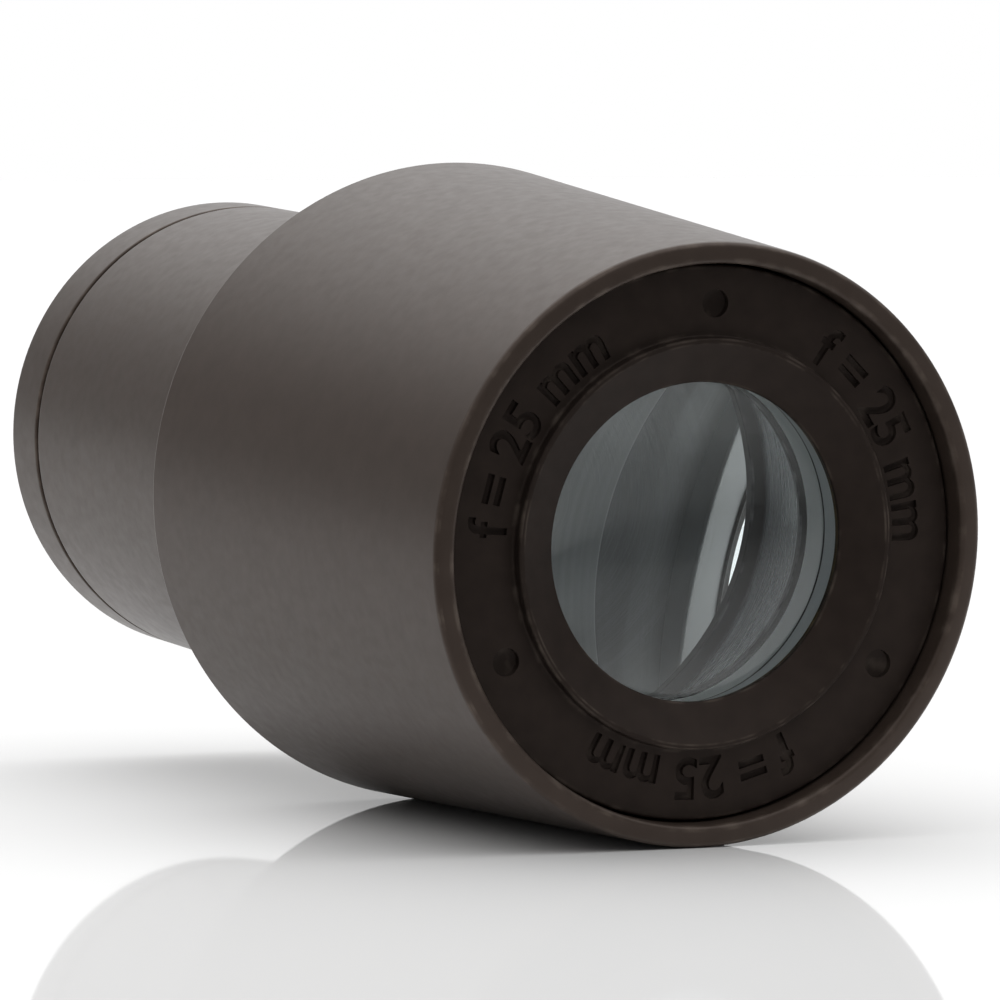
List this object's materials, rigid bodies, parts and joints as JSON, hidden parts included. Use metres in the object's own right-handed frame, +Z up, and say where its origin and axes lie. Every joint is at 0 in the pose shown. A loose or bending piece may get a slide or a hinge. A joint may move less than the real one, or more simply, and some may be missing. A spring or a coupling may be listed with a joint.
{
  "type": "microscope eyepiece",
  "caption": "Wide-field 10x eyepiece lying on its side: tapered moulded head with a screwed eye cap, cemented eye lens, insert barrel with field lens, field stop and screwed end ring.",
  "frame": {"origin": "centre of the bounding box on the surface that the eyepiece lies on", "axes": "+Z up, +Y from the eye end to the field end, +X to the right as seen from the eye end; the optical axis lies in the YZ plane and rises 3.38 degrees towards +Y because the tapered head rests on its side"},
  "size_m": [0.031, 0.0582, 0.0309],
  "materials": {
    "head_plastic": "satin moulded brown-black plastic",
    "cap_plastic": "satin moulded black plastic with sunk marking",
    "blackened_metal": "matt black on turned aluminium",
    "brass": "chemically blackened turned brass",
    "lens_glass": "polished, thin anti-reflection coating"
  },
  "bodies": {
    "housing": {"head_shell": "head_plastic", "barrel": "head_plastic", "eye_lens_flint": "lens_glass", "eye_lens_crown": "lens_glass", "lens_cell": "blackened_metal", "spacer_tube": "blackened_metal", "field_lens": "lens_glass", "field_lens_ring": "blackened_metal", "field_stop": "blackened_metal"},
    "slip_washer": {"slip_washer": "brass"},
    "eye_cap": {"eye_cap": "cap_plastic"},
    "stop_tube": {"stop_tube": "blackened_metal"},
    "end_ring": {"end_ring": "head_plastic"}
  },
  "joints": [
    {"name": "cap_travel", "type": "slide", "parent": "housing", "child": "slip_washer", "axis": [0, -0.9983, -0.0589], "range_m": [0, 0.00264]},
    {"name": "cap_turn", "type": "hinge", "parent": "slip_washer", "child": "eye_cap", "pos_m": [0, -0.02833, 0.01375], "axis": [0, -0.9983, -0.0589], "range_deg": [0, 1260]},
    {"name": "end_ring_travel", "type": "slide", "parent": "housing", "child": "stop_tube", "axis": [0, 0.9983, 0.0589], "range_m": [0, 0.00264]},
    {"name": "end_ring_turn", "type": "hinge", "parent": "stop_tube", "child": "end_ring", "pos_m": [0, 0.02847, 0.0171], "axis": [0, 0.9983, 0.0589], "range_deg": [0, 1260]}
  ],
  "couplings": [
    {"joint": "cap_travel", "follows": "cap_turn", "m_per_rad": 0.00011937},
    {"joint": "end_ring_travel", "follows": "end_ring_turn", "m_per_rad": 0.00011937}
  ]
}
